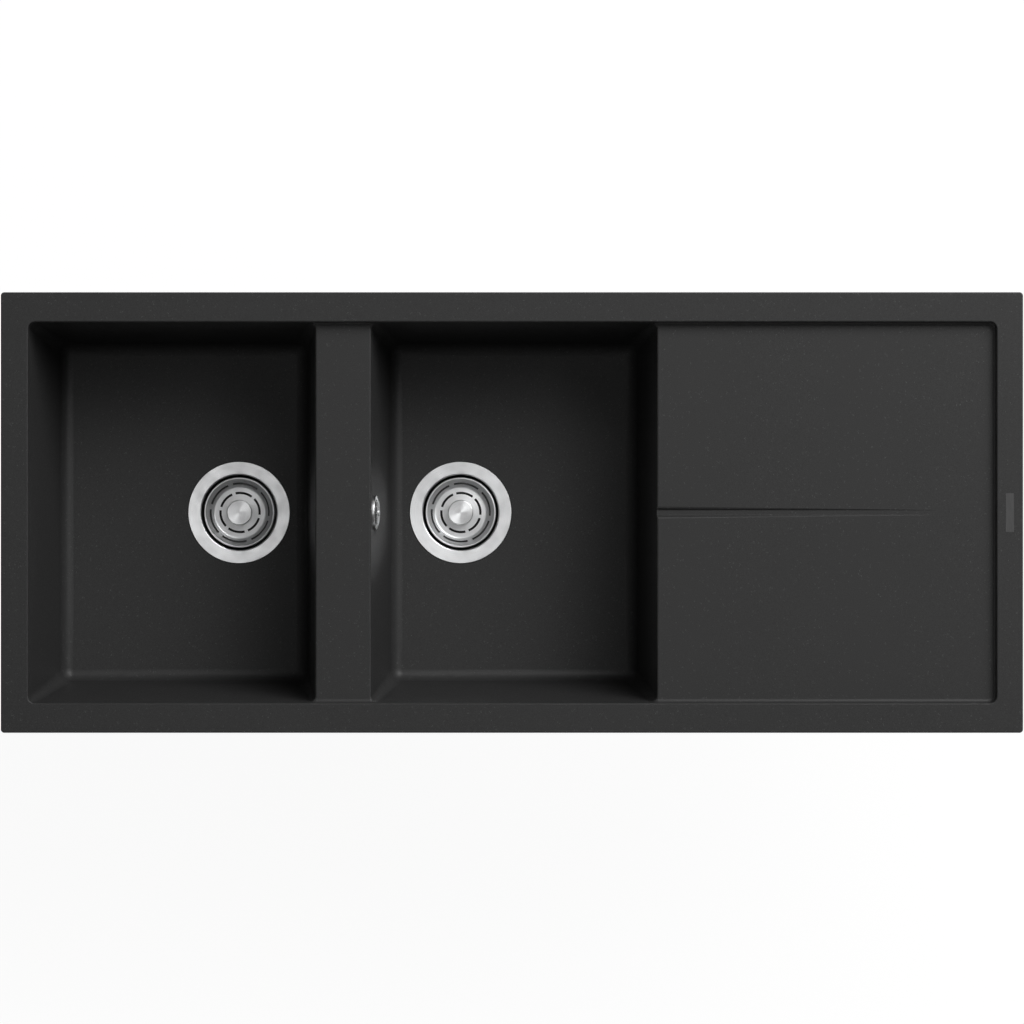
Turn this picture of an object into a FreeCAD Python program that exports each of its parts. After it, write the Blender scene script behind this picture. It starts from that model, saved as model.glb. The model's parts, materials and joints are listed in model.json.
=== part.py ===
import FreeCAD, Part
import math
import os

import Sketcher
from FreeCAD import Placement, Rotation, Vector

# Double bowl inset kitchen sink with a draining board, its strainer wastes, overflow, trap and clips.
# Millimetres. The origin is the centre of the sink's outline on the worktop, +Z up, +X from the bowls
# towards the drainer, +Y towards the wall behind the sink.

SIZES = [
    # the rim, which lies on the worktop
    ("sink_length", 1160),
    ("sink_width", 500),
    ("outline_corner", 4),
    ("rim_height", 8),
    ("rim_edge_round", 1.5),
    ("rim_left", 31),
    ("rim_right", 29.8),
    ("rim_side", 33.7),
    # the skirt, which hangs in the worktop's cut-out
    ("skirt_length", 1132),
    ("skirt_width", 470),
    ("skirt_depth", 24),
    ("skirt_wall", 12),
    ("skirt_corner", 10),
    # the sunk deck with the divider, the drainer and the mouths of the bowls
    ("deck_depth", 13.5),
    ("deck_thickness", 9.5),
    ("deck_corner", 8),
    ("deck_foot_round", 4.5),
    ("divider_width", 63.2),
    ("drainer_rise", 1.5),
    ("drainer_start", 6),
    ("groove_length", 319),
    ("groove_depth", 3.5),
    ("groove_floor", 6),
    ("groove_flank", 2.6),
    ("groove_foot_round", 1.2),
    ("groove_shoulder_depth", 0.5),
    ("groove_shoulder_slope", 20),
    ("rib_width", 8),
    ("cross_rib_count", 3),
    # the bowls
    ("bowl_length", 325.5),
    ("bowl_depth", 200),
    ("bowl_draft", 5.6),
    ("bowl_wall", 9),
    ("bowl_floor", 10),
    ("bowl_floor_corner", 14),
    ("bowl_foot_round", 14),
    ("bowl_mouth_round", 2),
    ("left_waste_inset", 99),
    ("right_waste_inset", 99.7),
    # the seal under the rim and the blank plate on it
    ("rim_seal_width", 5),
    ("rim_seal_depth", 2),
    ("rim_seal_inset", 4.5),
    ("plate_length", 44),
    ("plate_width", 9.2),
    ("plate_corner", 1),
    ("plate_thickness", 0.8),
    ("plate_seat", 0.6),
    ("plate_clearance", 0.1),
    ("plate_offset", 15.1),
    # the strainer cups and the wastes under them
    ("flange_radius", 60),
    ("flange_clearance", 0.7),
    ("flange_seat", 2.5),
    ("flange_gasket", 1.3),
    ("flange_dish", 0.5),
    ("waste_hole_radius", 46.8),
    ("gasket_clearance", 1),
    ("steel_sheet", 1.2),
    ("cup_radius", 44.6),
    ("cup_lip_round", 1.6),
    ("cup_foot_round", 4),
    ("cup_depth", 41),
    ("window_radius", 4.5),
    ("window_circle", 15.5),
    ("window_count", 6),
    ("body_gasket", 3),
    ("body_gap", 1.6),
    ("body_wall", 3),
    ("body_flange_radius", 57),
    ("body_flange_height", 4),
    ("body_depth", 34),
    ("cone_depth", 14),
    ("tail_length", 32),
    ("tail_bore_radius", 18),
    ("hub_radius", 10.5),
    ("hub_height", 14),
    ("spoke_width", 4),
    ("spoke_height", 8),
    # the clamp screw that pulls a cup and its waste together
    ("clamp_radius", 5),
    ("clamp_head_radius", 8.5),
    ("clamp_head_height", 4),
    ("clamp_nut_radius", 8),
    ("clamp_nut_height", 6),
    ("clamp_end", 1),
    ("thread_clearance", 0.1),
    # the lift-out baskets
    ("basket_drop", 5),
    ("basket_depth", 15),
    ("basket_radius", 41.5),
    ("basket_mouth_radius", 39.6),
    ("basket_floor_radius", 31),
    ("basket_dish_rise", 1),
    ("basket_sheet", 0.8),
    ("basket_rim_height", 1.6),
    ("inner_slot_width", 2.7),
    ("outer_slot_width", 2.2),
    ("slot_angle", 50),
    ("slot_turn", 18.5),
    ("slot_count", 6),
    ("inner_slot_radius", 23.2),
    ("outer_slot_radius", 34.5),
    ("knob_radius", 14.8),
    ("knob_height", 13),
    ("knob_cap", 4),
    ("knob_foot_radius", 7.5),
    ("post_radius", 3),
    ("post_socket_depth", 14),
    ("post_clearance", 0.1),
    ("turning_clearance", 0.05),
    ("resting_gap", 0.3),
    ("collar_radius", 6.5),
    ("collar_height", 2),
    ("stopper_radius", 26),
    ("stopper_height", 7),
    ("stopper_lip", 4),
    # the overflow on the divider side of the right bowl
    ("overflow_drop", 42),
    ("overflow_hole_radius", 12),
    ("cover_radius", 20),
    ("cover_height", 5),
    ("cover_sheet", 1),
    ("cover_hole_radius", 1.4),
    ("cover_hole_circle", 15.5),
    ("cover_hole_count", 12),
    ("overflow_screw_radius", 2.5),
    ("overflow_screw_head", 4.2),
    ("overflow_screw_head_height", 1.3),
    ("overflow_gasket", 2),
    ("elbow_radius", 17),
    ("elbow_wall", 2.5),
    ("elbow_depth", 20),
    ("elbow_spigot_depth", 12),
    ("spigot_radius", 9),
    ("spigot_wall", 2),
    ("spigot_end", 38),
    ("spigot_grip", 14),
    ("spigot_drop", 20),
    ("waste_spigot_length", 20),
    ("hose_wall", 2),
    ("hose_clearance", 0.15),
    ("hose_bend", 34),
    ("hose_clip_wall", 1.5),
    ("hose_clip_width", 8),
    # the pipes under the sink and the compression joints between them
    ("pipe_radius", 20),
    ("pipe_wall", 2.2),
    ("pipe_stop_height", 1.5),
    ("pipe_stop_width", 3),
    ("socket_radius", 23.9),
    ("socket_clearance", 0.2),
    ("socket_depth", 20),
    ("socket_length", 26),
    ("washer_height", 4),
    ("nut_radius", 29.5),
    ("nut_grip", 14),
    ("nut_lip", 3),
    ("nut_flute_radius", 2.5),
    ("nut_flute_count", 12),
    ("cross_drop", 52),
    ("elbow_bend", 34),
    ("elbow_reach", 70),
    ("tee_reach", 60),
    # the bottle trap
    ("trap_drop", 38),
    ("trap_radius", 34),
    ("trap_wall", 3),
    ("trap_neck", 24),
    ("trap_head_height", 56),
    ("trap_thread", 14),
    ("trap_cup_depth", 74),
    ("trap_cup_wall", 3),
    ("trap_collar_wall", 4),
    ("trap_seal", 2.5),
    ("dip_radius", 19.5),
    ("dip_bore_radius", 17),
    ("dip_depth", 40),
    ("trap_reach", 64),
    ("outlet_end", 232),
    # the clips that hold the sink down
    ("insert_radius", 3.5),
    ("insert_length", 12),
    ("insert_clearance", 0.05),
    ("clip_inset", 6),
    ("clip_offset", 371),
    ("clip_drop", 42),
    ("clip_screw_radius", 2.5),
    ("clip_screw_length", 40),
    ("clip_head_radius", 5),
    ("clip_head_height", 3.5),
    ("claw_width", 10),
    ("claw_length", 24),
    ("claw_sheet", 2),
    ("claw_lip", 12),
]

CLIPS = [
    # name, place along the side, side, angle at which the claw lies against the skirt
    ("front_left", -1, "front", 0),
    ("front_middle", 0, "front", 0),
    ("front_right", 1, "front", 0),
    ("back_left", -1, "back", 0),
    ("back_middle", 0, "back", 0),
    ("back_right", 1, "back", 0),
    ("left", 0, "left", 90),
    ("right", 0, "right", 90),
]


class Size:
    """A length or angle, as a number and as the sheet expression that it follows."""

    def __init__(self, value, text):
        self.value = float(value)
        self.text = text

    def __add__(self, other):
        other = as_size(other)
        return Size(self.value + other.value, f"({self.text} + {other.text})")

    def __radd__(self, other):
        return as_size(other) + self

    def __sub__(self, other):
        other = as_size(other)
        return Size(self.value - other.value, f"({self.text} - {other.text})")

    def __rsub__(self, other):
        return as_size(other) - self

    def __mul__(self, other):
        other = as_size(other)
        return Size(self.value * other.value, f"({self.text} * {other.text})")

    def __rmul__(self, other):
        return as_size(other) * self

    def __truediv__(self, other):
        other = as_size(other)
        return Size(self.value / other.value, f"({self.text} / {other.text})")

    def __neg__(self):
        return Size(-self.value, f"(0 - {self.text})")


def as_size(number):
    if isinstance(number, Size):
        return number
    return Size(number, f"({float(number)})")


def sine(angle):
    return Size(math.sin(math.radians(angle.value)), f"sin({angle.text})")


def cosine(angle):
    return Size(math.cos(math.radians(angle.value)), f"cos({angle.text})")


def tangent(angle):
    return Size(math.tan(math.radians(angle.value)), f"tan({angle.text})")


class Sheet:
    """The driving dimensions: one row each in the document's spreadsheet, read as sheet.name."""

    def __init__(self, doc):
        self.cells = doc.addObject("Spreadsheet::Sheet", "sizes")
        for row, (name, number) in enumerate(SIZES, start=1):
            self.cells.set(f"A{row}", name)
            self.cells.set(f"B{row}", str(number))
            self.cells.setAlias(f"B{row}", name)
        doc.recompute()

    def __getattr__(self, name):
        return Size(getattr(self.cells, name), f"sizes.{name}")


doc = FreeCAD.newDocument("kitchen_sink")
s = Sheet(doc)


def bind(thing, name, size):
    thing.setExpression(name, as_size(size).text)


def new_body(label):
    body = doc.addObject("PartDesign::Body", label)
    body.Label = label
    return body


def new_sketch(body, name, role, offset=None):
    sketch = body.newObject("Sketcher::SketchObject", name)
    plane = next(item for item in body.Origin.OriginFeatures if item.Role == role)
    sketch.AttachmentSupport = [(plane, "")]
    sketch.MapMode = "FlatFace"
    if offset is not None:
        bind(sketch, "AttachmentOffset.Base.z", offset)
        sketch.AttachmentOffset = Placement(Vector(0, 0, as_size(offset).value), Rotation())
    return sketch


def measure(sketch, kind, *place, size):
    """Add one measured constraint that follows the sheet."""
    size = as_size(size)
    index = sketch.addConstraint(Sketcher.Constraint(kind, *place, size.value))
    bind(sketch, f"Constraints[{index}]", size)


def place_point(sketch, item, end, x, y):
    measure(sketch, "DistanceX", -1, 1, item, end, size=x)
    measure(sketch, "DistanceY", -1, 1, item, end, size=y)


def corner_arc(before, corner, after, radius):
    """The arc that rounds a corner, where it starts and ends, and whether it turns left."""
    to_before = (before - corner).normalize()
    to_after = (after - corner).normalize()
    half = to_before.getAngle(to_after) / 2
    reach = radius / math.tan(half)
    first = corner + to_before * reach
    last = corner + to_after * reach
    centre = corner + (to_before + to_after).normalize() * (radius / math.sin(half))
    left = to_after.cross(to_before).z > 0
    start, end = (first, last) if left else (last, first)
    from_angle = math.atan2(start.y - centre.y, start.x - centre.x)
    to_angle = math.atan2(end.y - centre.y, end.x - centre.x)
    if to_angle < from_angle:
        to_angle += 2 * math.pi
    circle = Part.Circle(centre, Vector(0, 0, 1), radius)
    return Part.ArcOfCircle(circle, from_angle, to_angle), first, last, left


def draw_outline(sketch, corners):
    """Draw a closed outline. Each corner is (x, y), or (x, y, radius) where it is rounded."""
    count = len(corners)
    spots = [Vector(as_size(corner[0]).value, as_size(corner[1]).value, 0) for corner in corners]
    arcs = {}
    for index, corner in enumerate(corners):
        if len(corner) > 2:
            radius = as_size(corner[2]).value
            arcs[index] = corner_arc(spots[index - 1], spots[index], spots[(index + 1) % count], radius)
    lines = []
    for index in range(count):
        after = (index + 1) % count
        start = arcs[index][2] if index in arcs else spots[index]
        end = arcs[after][1] if after in arcs else spots[after]
        lines.append(sketch.addGeometry(Part.LineSegment(start, end), False))
    for index, corner in enumerate(corners):
        before = lines[index - 1]
        after = lines[index]
        if index not in arcs:
            sketch.addConstraint(Sketcher.Constraint("Coincident", before, 2, after, 1))
            place_point(sketch, after, 1, corner[0], corner[1])
            continue
        arc = sketch.addGeometry(arcs[index][0], False)
        first, last = (1, 2) if arcs[index][3] else (2, 1)
        sketch.addConstraint(Sketcher.Constraint("Tangent", before, 2, arc, first))
        sketch.addConstraint(Sketcher.Constraint("Tangent", after, 1, arc, last))
        measure(sketch, "Radius", arc, size=corner[2])
        point = sketch.addGeometry(Part.Point(spots[index]), True)
        sketch.addConstraint(Sketcher.Constraint("PointOnObject", point, 1, before))
        sketch.addConstraint(Sketcher.Constraint("PointOnObject", point, 1, after))
        place_point(sketch, point, 1, corner[0], corner[1])


def draw_circle(sketch, x, y, radius):
    x, y, radius = as_size(x), as_size(y), as_size(radius)
    circle = Part.Circle(Vector(x.value, y.value, 0), Vector(0, 0, 1), radius.value)
    item = sketch.addGeometry(circle, False)
    place_point(sketch, item, 3, x, y)
    measure(sketch, "Radius", item, size=radius)


def rectangle(left, right, low, high, radius=None):
    """The corners of a rectangle, rounded where a radius is given."""
    corners = [(left, low), (right, low), (right, high), (left, high)]
    if radius is None:
        return corners
    return [(x, y, radius) for x, y in corners]


def recompute_changed(body, feature):
    """Recompute, and make sure that the feature changed the body's faces."""
    before = len(body.Shape.Faces)
    doc.recompute()
    if len(body.Shape.Faces) == before:
        raise RuntimeError(f"{body.Label}: {feature.Name} changes nothing")


def pad(body, sketch, length, down=False, both_ways=False):
    feature = body.newObject("PartDesign::Pad", sketch.Name + "_pad")
    feature.Profile = sketch
    bind(feature, "Length", length)
    feature.Reversed = down
    feature.Midplane = both_ways
    sketch.Visibility = False
    doc.recompute()
    return feature


def pocket(body, sketch, length, up=False, both_ways=False):
    feature = body.newObject("PartDesign::Pocket", sketch.Name + "_pocket")
    feature.Profile = sketch
    bind(feature, "Length", length)
    feature.Reversed = up
    feature.Midplane = both_ways
    recompute_changed(body, feature)
    return feature


def loft(body, kind, sketches):
    feature = body.newObject(f"PartDesign::{kind}Loft", sketches[0].Name + "_loft")
    feature.Profile = sketches[0]
    feature.Sections = [(sketch, "") for sketch in sketches[1:]]
    feature.Ruled = True
    recompute_changed(body, feature)
    return feature


def round_edges(body, name, radius, wanted):
    """Fillet the edges of the body's last feature that the test picks out."""
    base = body.Tip
    names = [f"Edge{index}" for index, edge in enumerate(base.Shape.Edges, start=1) if wanted(edge)]
    feature = body.newObject("PartDesign::Fillet", name)
    feature.Base = (base, names)
    bind(feature, "Radius", radius)
    doc.recompute()
    return feature


def place(piece, x=0, y=0, z=0, rotation=None):
    """Set where a piece stands, following the sheet."""
    x, y, z = as_size(x), as_size(y), as_size(z)
    piece.Placement = Placement(Vector(x.value, y.value, z.value), rotation or Rotation())
    for axis, size in (("x", x), ("y", y), ("z", z)):
        bind(piece, f"Placement.Base.{axis}", size)


def turn(piece, axis, angle):
    """Turn a piece about its own origin by an angle of the sheet."""
    angle = as_size(angle)
    piece.Placement = Placement(piece.Placement.Base, Rotation(axis, angle.value))
    bind(piece, "Placement.Rotation.Angle", angle)


def turned(label, corners):
    """A piece of revolution about its own Z axis. The corners are (radius, height)."""
    body = new_body(label)
    sketch = new_sketch(body, label + "_half", "XZ_Plane")
    draw_outline(sketch, corners)
    feature = body.newObject("PartDesign::Revolution", label + "_turn")
    feature.Profile = sketch
    feature.ReferenceAxis = (sketch, ["V_Axis"])
    feature.Angle = 360
    doc.recompute()
    return body


def ring(label, inner, outer, low, high):
    return turned(label, rectangle(inner, outer, low, high))


def around(body, features, count):
    """Repeat features evenly about the body's Z axis."""
    pattern = body.newObject("PartDesign::PolarPattern", features[0].Name + "_around")
    pattern.Originals = features
    axis = next(item for item in body.Origin.OriginFeatures if item.Role == "Z_Axis")
    pattern.Axis = (axis, [""])
    pattern.Angle = 360
    bind(pattern, "Occurrences", count)
    body.Tip = pattern
    doc.recompute()
    return pattern


# levels and places that the pieces share

rim_top = s.rim_height
deck_level = rim_top - s.deck_depth
deck_underside = deck_level - s.deck_thickness
skirt_bottom = -s.skirt_depth
floor_level = rim_top - s.bowl_depth
underside = floor_level - s.bowl_floor
half_length = s.sink_length / 2
half_width = s.sink_width / 2
skirt_x = s.skirt_length / 2
skirt_y = s.skirt_width / 2
recess_left = s.rim_left - half_length
recess_right = half_length - s.rim_right
recess_y = half_width - s.rim_side
left_bowl = (recess_left, recess_left + s.bowl_length)
right_bowl = (left_bowl[1] + s.divider_width, left_bowl[1] + s.divider_width + s.bowl_length)
waste_x = {"left": left_bowl[1] - s.left_waste_inset, "right": right_bowl[0] + s.right_waste_inset}
drainer_left = right_bowl[1] + s.drainer_start

seat_level = floor_level - s.flange_seat
flange_underside = seat_level + s.flange_gasket
flange_top = flange_underside + s.steel_sheet
cup_outer = s.cup_radius + s.steel_sheet
cup_floor = floor_level - s.cup_depth
body_top = underside - s.body_gasket
body_bore = cup_outer + s.body_gap
body_outer = body_bore + s.body_wall
body_bottom = body_top - s.body_depth
cone_end = body_bottom - s.cone_depth
tail_end = cone_end - s.tail_length
socket_bore = s.pipe_radius + s.socket_clearance
pipe_bore = s.pipe_radius - s.pipe_wall
hub_bottom = tail_end + s.socket_depth + s.clamp_end
pipe_insert = s.socket_depth - s.resting_gap

basket_top = floor_level - s.basket_drop
basket_floor = basket_top - s.basket_depth
dish_level = basket_floor + s.basket_dish_rise
dish_underside = dish_level - s.basket_sheet
collar_top = dish_underside - s.resting_gap
clamp_head_top = cup_floor + s.clamp_head_height
stopper_bottom = cup_floor + s.resting_gap
stopper_top = stopper_bottom + s.stopper_height
post_bottom = clamp_head_top - s.post_socket_depth + s.clamp_end
post_top = dish_level + s.knob_height - s.knob_cap - s.resting_gap

overflow_level = rim_top - s.overflow_drop
overflow_x = right_bowl[0] + (deck_level - overflow_level) * tangent(s.bowl_draft)
overflow_tilt = 90 - s.bowl_draft
wall_through = s.bowl_wall * cosine(s.bowl_draft)
elbow_front = -wall_through - s.overflow_gasket
elbow_back = elbow_front - s.elbow_depth
spigot_axis = elbow_front - s.elbow_spigot_depth
spigot_bore = s.spigot_radius - s.spigot_wall
waste_spigot_level = body_top - s.spigot_drop
waste_spigot_end = waste_x["right"] - body_outer - s.waste_spigot_length
hose_bore = s.spigot_radius + s.hose_clearance
hose_outer = hose_bore + s.hose_wall

cross_level = tail_end - s.cross_drop
elbow_mouth = waste_x["left"] + s.elbow_reach
tee_mouth = waste_x["right"] - s.tee_reach
trap_top = cross_level - s.trap_drop
head_top = trap_top - s.trap_neck
head_bottom = head_top - s.trap_head_height
outlet_level = (head_top + head_bottom) / 2
trap_bottom = head_bottom - s.trap_thread - s.trap_cup_depth

clip_y = skirt_y - s.clip_inset
clip_x = skirt_x - s.clip_inset
claw_bottom = -s.clip_drop - s.claw_lip
clip_head_top = claw_bottom - s.resting_gap


# the sink

def bowl_section(body, name, ends, level, grow, corner):
    """A bowl's plan at one level, drafted inwards with depth and grown by a wall."""
    inset = (deck_level - level) * tangent(s.bowl_draft) - grow
    sketch = new_sketch(body, name, "XY_Plane", level)
    sides = rectangle(ends[0] + inset, ends[1] - inset, inset - recess_y, recess_y - inset, corner)
    draw_outline(sketch, sides)
    return sketch


def flat_at(level):
    """A test for edges that lie wholly at one level."""
    def test(edge):
        box = edge.BoundBox
        return abs(box.ZMin - level.value) < 0.001 and abs(box.ZMax - level.value) < 0.001
    return test


def is_mouth(edge):
    """The edges round the bowls' mouths, at the level of the deck."""
    box = edge.BoundBox
    inside_y = box.YMin > -recess_y.value - 0.1 and box.YMax < recess_y.value + 0.1
    for low, high in (left_bowl, right_bowl):
        if box.XMin > low.value - 0.1 and box.XMax < high.value + 0.1 and inside_y:
            return flat_at(deck_level)(edge)
    return False


def is_drainer_foot(edge):
    """The edges where the drainer meets the frame round it."""
    box = edge.BoundBox
    highest = deck_level.value + s.drainer_rise.value + 0.001
    low = box.ZMin > deck_level.value - 0.001 and box.ZMax < highest
    end = box.XMin > recess_right.value - s.deck_corner.value - 0.1
    side = abs(abs(box.YMin) - recess_y.value) < 0.001 and box.YLength < 0.001
    return low and (end or side) and box.XMin > drainer_left.value - 0.1


def skirt_block(body):
    sketch = new_sketch(body, "skirt", "XY_Plane", deck_level)
    draw_outline(sketch, rectangle(-skirt_x, skirt_x, -skirt_y, skirt_y, s.skirt_corner))
    pad(body, sketch, s.skirt_depth + deck_level, down=True)
    sketch = new_sketch(body, "skirt_hollow", "XY_Plane", skirt_bottom)
    x = skirt_x - s.skirt_wall
    y = skirt_y - s.skirt_wall
    draw_outline(sketch, rectangle(-x, x, -y, y, s.skirt_corner / 2))
    pocket(body, sketch, s.skirt_depth + deck_underside, up=True)


def drainer_ribs(body):
    """Ribs under the drainer: one along the middle and some across."""
    left = right_bowl[1] + s.bowl_wall / 2
    right = skirt_x - s.skirt_wall / 2
    y = skirt_y - s.skirt_wall / 2
    half_rib = s.rib_width / 2
    length = s.skirt_depth + deck_underside
    sketch = new_sketch(body, "long_rib", "XY_Plane", skirt_bottom)
    draw_outline(sketch, rectangle(left, right, -half_rib, half_rib))
    pad(body, sketch, length)
    sketch = new_sketch(body, "cross_ribs", "XY_Plane", skirt_bottom)
    count = round(s.cross_rib_count.value)
    for rib in range(1, count + 1):
        middle = left + (right - left) * (rib / (count + 1))
        draw_outline(sketch, rectangle(middle - half_rib, middle + half_rib, -y, y))
    pad(body, sketch, length)


def bowl_shells(body):
    for side, ends in (("left", left_bowl), ("right", right_bowl)):
        corner = s.deck_corner + s.bowl_wall
        top = bowl_section(body, side + "_shell_top", ends, deck_underside, s.bowl_wall, corner)
        corner = s.bowl_floor_corner + s.bowl_wall
        low = bowl_section(body, side + "_shell_low", ends, underside, s.bowl_wall, corner)
        loft(body, "Additive", [top, low])
    round_edges(body, "shell_foot_round", s.bowl_foot_round + s.bowl_floor / 2, flat_at(underside))


def drainer_ramp(body):
    """The drainer rises from the bowl to its far end."""
    sketch = new_sketch(body, "drainer_ramp", "XZ_Plane")
    right = recess_right + s.deck_foot_round
    corners = [(drainer_left, deck_level - s.deck_foot_round), (right, deck_level - s.deck_foot_round)]
    corners += [(right, deck_level + s.drainer_rise), (drainer_left, deck_level)]
    draw_outline(sketch, corners)
    pad(body, sketch, (recess_y + s.deck_foot_round) * 2, both_ways=True)


def bowl_hollows(body):
    for side, ends in (("left", left_bowl), ("right", right_bowl)):
        top = bowl_section(body, side + "_bowl_top", ends, deck_level, 0, s.deck_corner)
        low = bowl_section(body, side + "_bowl_low", ends, floor_level, 0, s.bowl_floor_corner)
        loft(body, "Subtractive", [top, low])
    round_edges(body, "bowl_foot_round", s.bowl_foot_round, flat_at(floor_level))
    round_edges(body, "bowl_mouth_round", s.bowl_mouth_round, is_mouth)


def raised_frame(body):
    """The flat border round the deck. Its root joins it to the skirt, behind the rounded mouths."""
    recess = rectangle(recess_left, recess_right, -recess_y, recess_y, s.deck_corner)
    sketch = new_sketch(body, "frame_root", "XY_Plane", deck_level - s.bowl_mouth_round * 2)
    draw_outline(sketch, rectangle(-skirt_x, skirt_x, -skirt_y, skirt_y, s.skirt_corner))
    draw_outline(sketch, recess)
    pad(body, sketch, s.deck_depth)
    sketch = new_sketch(body, "frame", "XY_Plane")
    draw_outline(sketch, rectangle(-half_length, half_length, -half_width, half_width, s.outline_corner))
    draw_outline(sketch, recess)
    pad(body, sketch, s.rim_height)
    round_edges(body, "rim_round", s.rim_edge_round, flat_at(rim_top))
    round_edges(body, "drainer_foot_round", s.deck_foot_round, is_drainer_foot)


def drainer_groove(body):
    """A flat-bottomed groove down to the bowl, with eased edges. It fades out before the drainer's far end."""
    half_floor = s.groove_floor / 2
    half_mouth = half_floor + s.groove_flank
    fading_cut(body, "groove", s.groove_depth, half_floor, half_floor, s.groove_flank / s.groove_depth,
               s.groove_foot_round)
    fading_cut(body, "groove_shoulder", s.groove_shoulder_depth, half_mouth, half_floor,
               as_size(1) / tangent(s.groove_shoulder_slope), s.groove_foot_round)


def fading_cut(body, name, depth, start_half, end_half, flare, foot_round):
    """A long cut into the drainer that gets shallower from the bowl to nothing. flare is its flanks' run over rise."""
    slope = s.drainer_rise / (recess_right + s.deck_foot_round - drainer_left)
    end_x = right_bowl[1] + s.groove_length
    end_level = deck_level + (end_x - drainer_left) * slope
    start_x = right_bowl[1] - s.bowl_mouth_round * 2
    start_level = deck_level - depth
    past_end = s.groove_floor / (end_x - start_x) + 1
    tall = s.groove_depth * 2
    sections = []
    for section, share in ((name + "_start", as_size(0)), (name + "_end", past_end)):
        x = start_x + (end_x - start_x) * share
        level = start_level + (end_level - start_level) * share
        inner = start_half + (end_half - start_half) * share
        outer = inner + tall * flare
        sketch = new_sketch(body, section, "YZ_Plane", x)
        foot = [(-inner, level, foot_round), (inner, level, foot_round)]
        draw_outline(sketch, [*foot, (outer, level + tall), (-outer, level + tall)])
        sections.append(sketch)
    loft(body, "Subtractive", sections)


def waste_seats(body):
    seats = new_sketch(body, "waste_seats", "XY_Plane", floor_level)
    for x in waste_x.values():
        draw_circle(seats, x, 0, s.flange_radius + s.flange_clearance)
    pocket(body, seats, s.flange_seat)
    holes = new_sketch(body, "waste_holes", "XY_Plane", floor_level)
    for x in waste_x.values():
        draw_circle(holes, x, 0, s.waste_hole_radius)
    pocket(body, holes, s.bowl_floor * 2)


def overflow_hole(body):
    hole = body.newObject("PartDesign::SubtractiveCylinder", "overflow_hole")
    bind(hole, "Radius", s.overflow_hole_radius)
    bind(hole, "Height", s.bowl_wall * 3)
    reach = s.bowl_wall * 2
    turn(hole, Vector(0, 1, 0), overflow_tilt)
    x = overflow_x - reach * cosine(s.bowl_draft)
    z = overflow_level - reach * sine(s.bowl_draft)
    for axis, size in (("x", x), ("z", z)):
        bind(hole, f"Placement.Base.{axis}", size)
    doc.recompute()


def rim_seats(body):
    """The blank plate's seat on the rim, and the seal's groove and the inserts' holes under it."""
    plate = new_sketch(body, "plate_recess", "XY_Plane", rim_top)
    x = half_length - s.plate_offset
    grow = s.plate_clearance
    half_plate = s.plate_width / 2 + grow
    end = s.plate_length / 2 + grow
    draw_outline(plate, rectangle(x - half_plate, x + half_plate, -end, end, s.plate_corner + grow))
    pocket(body, plate, s.plate_seat)
    groove = new_sketch(body, "seal_groove", "XY_Plane")
    for corners in seal_outlines():
        draw_outline(groove, corners)
    pocket(body, groove, s.rim_seal_depth, up=True)
    holes = new_sketch(body, "insert_holes", "XY_Plane", skirt_bottom)
    for x, y in (clip_spot(clip) for clip in CLIPS):
        draw_circle(holes, x, y, s.insert_radius + s.insert_clearance)
    pocket(body, holes, s.insert_length, up=True)


def seal_outlines():
    """The outer and inner outline of the seal in the rim's underside."""
    outlines = []
    for inset in (s.rim_seal_inset, s.rim_seal_inset + s.rim_seal_width):
        x = half_length - inset
        y = half_width - inset
        outlines.append(rectangle(-x, x, -y, y, s.skirt_corner))
    return outlines


def clip_spot(clip):
    name, step, side, angle = clip
    along = s.clip_offset * step
    return {
        "front": (along, -clip_y),
        "back": (along, clip_y),
        "left": (-clip_x, as_size(0)),
        "right": (clip_x, as_size(0)),
    }[side]


def sink_body():
    body = new_body("sink_body")
    skirt_block(body)
    drainer_ribs(body)
    bowl_shells(body)
    drainer_ramp(body)
    bowl_hollows(body)
    raised_frame(body)
    drainer_groove(body)
    waste_seats(body)
    overflow_hole(body)
    rim_seats(body)
    return body


def rim_seal():
    body = new_body("rim_seal")
    sketch = new_sketch(body, "seal_ring", "XY_Plane")
    for corners in seal_outlines():
        draw_outline(sketch, corners)
    pad(body, sketch, s.rim_seal_depth)
    return body


def rim_plate():
    """The blank plate let into the rim's right end."""
    body = new_body("rim_plate")
    sketch = new_sketch(body, "plate_outline", "XY_Plane")
    half_plate = s.plate_width / 2
    end = s.plate_length / 2
    draw_outline(sketch, rectangle(-half_plate, half_plate, -end, end, s.plate_corner))
    pad(body, sketch, s.plate_thickness)
    place(body, half_length - s.plate_offset, 0, rim_top - s.plate_seat)
    return body


# the strainer cups and the wastes under them

def strainer_cup(side):
    """The pressed steel flange and cup, with windows in its floor round the clamp screw."""
    outer_lip = s.cup_lip_round / 2
    body = turned(side + "_strainer_cup", [
        (s.flange_radius, flange_underside),
        (s.flange_radius, flange_top, s.steel_sheet / 3),
        (s.cup_radius, flange_top - s.flange_dish, s.cup_lip_round),
        (s.cup_radius, cup_floor, s.cup_foot_round),
        (s.clamp_radius + s.thread_clearance, cup_floor),
        (s.clamp_radius + s.thread_clearance, cup_floor - s.steel_sheet),
        (cup_outer, cup_floor - s.steel_sheet, s.cup_foot_round + s.steel_sheet),
        (cup_outer, flange_underside, outer_lip),
    ])
    window = new_sketch(body, side + "_window", "XY_Plane", cup_floor)
    draw_circle(window, s.window_circle, 0, s.window_radius)
    around(body, [pocket(body, window, s.steel_sheet * 2)], s.window_count)
    place(body, waste_x[side])
    return body


def flange_gasket(side):
    inner = s.waste_hole_radius + s.gasket_clearance
    body = ring(side + "_flange_gasket", inner, s.flange_radius - s.gasket_clearance, seat_level, flange_underside)
    place(body, waste_x[side])
    return body


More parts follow.
